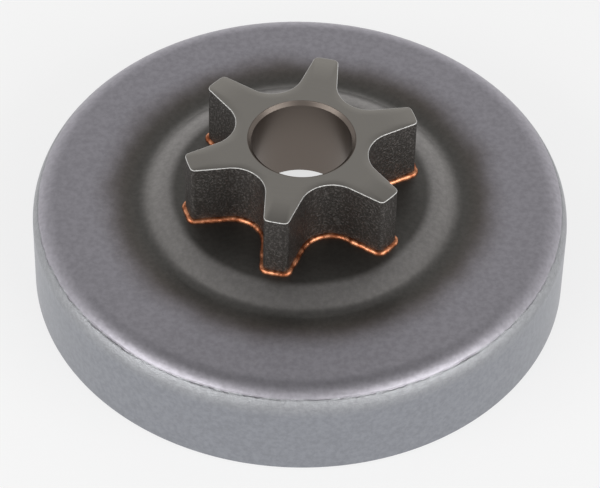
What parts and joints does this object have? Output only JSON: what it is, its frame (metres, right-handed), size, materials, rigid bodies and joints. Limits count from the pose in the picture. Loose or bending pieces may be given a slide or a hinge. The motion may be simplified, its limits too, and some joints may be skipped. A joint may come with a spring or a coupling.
{
  "type": "clutch drum sprocket",
  "caption": "Pressed steel clutch drum, open below, with a spur sprocket brazed on its web; a plain bore for a needle cage runs through both. It drives the chain of a small saw.",
  "frame": {"origin": "on the bore's axis, in the plane of the drum's open rim", "axes": "+Z along the bore, from the open rim towards the sprocket; the first tooth points 18.5 degrees from +X towards +Y"},
  "size_m": [0.07, 0.07, 0.0242],
  "materials": {
    "drum_steel": "pressed and heat-dulled on the web, turned on the skirt",
    "sprocket_steel": "sintered, ground top face",
    "braze_copper": "bright furnace braze"
  },
  "bodies": {
    "root": {"clutch_drum": "drum_steel", "spur_sprocket": "sprocket_steel", "braze_seam": "braze_copper"}
  },
  "joints": []
}
